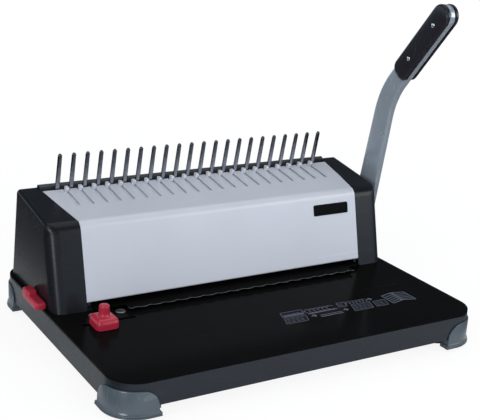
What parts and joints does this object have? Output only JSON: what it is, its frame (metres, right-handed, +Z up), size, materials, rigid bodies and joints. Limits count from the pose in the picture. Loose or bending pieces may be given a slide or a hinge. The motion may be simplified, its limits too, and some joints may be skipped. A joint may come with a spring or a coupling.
{
  "type": "comb binding machine",
  "caption": "Desktop punch and plastic comb opener: flat table, silver head with upright prongs, cranked side handle, red edge guide and depth knob.",
  "frame": {"origin": "on the desk, under the centre of the overall box at rest", "axes": "+X to the operator's right, where the handle is, +Y from the operator to the rear wall, +Z up from the desk"},
  "size_m": [0.4032, 0.2924, 0.3193],
  "materials": {
    "tray_plastic": "fine grained, slate grey",
    "table_enamel": "glossy black stoved enamel",
    "zinc_sheet": "zinc plated sheet",
    "foot_plastic": "satin, slate grey",
    "pad_rubber": "matt",
    "screw_steel": "zinc plated",
    "frame_steel": "zinc plated plate",
    "die_steel": "ground",
    "guide_black": "satin black",
    "bush_brass": "turned",
    "prong_steel": "bright plated",
    "silver_paint": "satin silver",
    "rear_paint": "satin black",
    "cap_plastic": "gloss black",
    "shaft_steel": "ground",
    "gear_steel": "machined, oiled",
    "handle_paint": "satin silver grey",
    "grip_plastic": "satin black",
    "grip_screw_chrome": "polished",
    "punch_steel": "ground, hardened",
    "opener_zinc": "bright zinc plated",
    "control_red": "gloss red",
    "shoe_plastic": "black",
    "drawer_plastic": "black, fine grained"
  },
  "bodies": {
    "machine": {"base_tray": "tray_plastic", "table_top": "table_enamel", "bottom_plate": "zinc_sheet", "foot_front_left": "foot_plastic", "foot_front_right": "foot_plastic", "foot_rear_left": "foot_plastic", "foot_rear_right": "foot_plastic", "foot_pads": "pad_rubber", "base_screws": "screw_steel", "frame_plate_left": "frame_steel", "frame_plate_right": "frame_steel", "frame_screws": "screw_steel", "die_plate": "die_steel", "throat_spacers": "frame_steel", "guide_plate": "guide_black", "die_screws": "screw_steel", "shaft_bushes": "bush_brass", "prong_comb": "prong_steel", "comb_screws": "screw_steel", "front_cover": "silver_paint", "rear_cover": "rear_paint", "rear_cover_screws": "screw_steel", "end_cap_left": "cap_plastic", "end_cap_right": "cap_plastic", "cap_screws": "screw_steel", "guide_rail": "frame_steel", "rail_screws": "screw_steel"},
    "lever": {"main_shaft": "shaft_steel", "pinion_left": "gear_steel", "pinion_right": "gear_steel", "crank_left": "gear_steel", "crank_right": "gear_steel", "crank_rollers": "shaft_steel", "shaft_pins": "gear_steel", "shaft_clip": "gear_steel", "handle_bar": "handle_paint", "handle_bolt": "screw_steel", "grip_inner": "grip_plastic", "grip_outer": "grip_plastic", "grip_screws": "grip_screw_chrome"},
    "punch": {"punch_bar": "gear_steel", "punch_pins": "punch_steel", "rack_left": "gear_steel", "rack_right": "gear_steel", "rack_screws": "screw_steel"},
    "opener": {"opener_plate": "opener_zinc", "opener_brackets": "opener_zinc"},
    "side_guide": {"edge_guide": "control_red", "guide_shoe": "shoe_plastic"},
    "depth_stop": {"depth_knob": "control_red", "paper_stop": "frame_steel"},
    "drawer": {"chip_drawer": "drawer_plastic"}
  },
  "joints": [
    {"name": "handle_swing", "type": "hinge", "parent": "machine", "child": "lever", "pos_m": [0, 0.0585, 0.076], "axis": [1, 0, 0], "range_deg": [0, 60]},
    {"name": "punch_stroke", "type": "slide", "parent": "machine", "child": "punch", "axis": [0, 0, -1], "range_m": [0, 0.0118]},
    {"name": "opener_pull", "type": "slide", "parent": "machine", "child": "opener", "axis": [0, -0.9882, -0.153], "range_m": [0, 0.0301]},
    {"name": "edge_guide_slide", "type": "slide", "parent": "machine", "child": "side_guide", "axis": [1, 0, 0], "range_m": [-0.006, 0.024]},
    {"name": "depth_slide", "type": "slide", "parent": "machine", "child": "depth_stop", "axis": [0, 1, 0], "range_m": [0, 0.004]},
    {"name": "drawer_slide", "type": "slide", "parent": "machine", "child": "drawer", "axis": [0, 1, 0], "range_m": [0, 0.12]}
  ],
  "couplings": [
    {"joint": "punch_stroke", "follows": "handle_swing", "m_per_rad": 0.01125},
    {"joint": "opener_pull", "follows": "handle_swing", "m_per_rad": 0.028648}
  ]
}
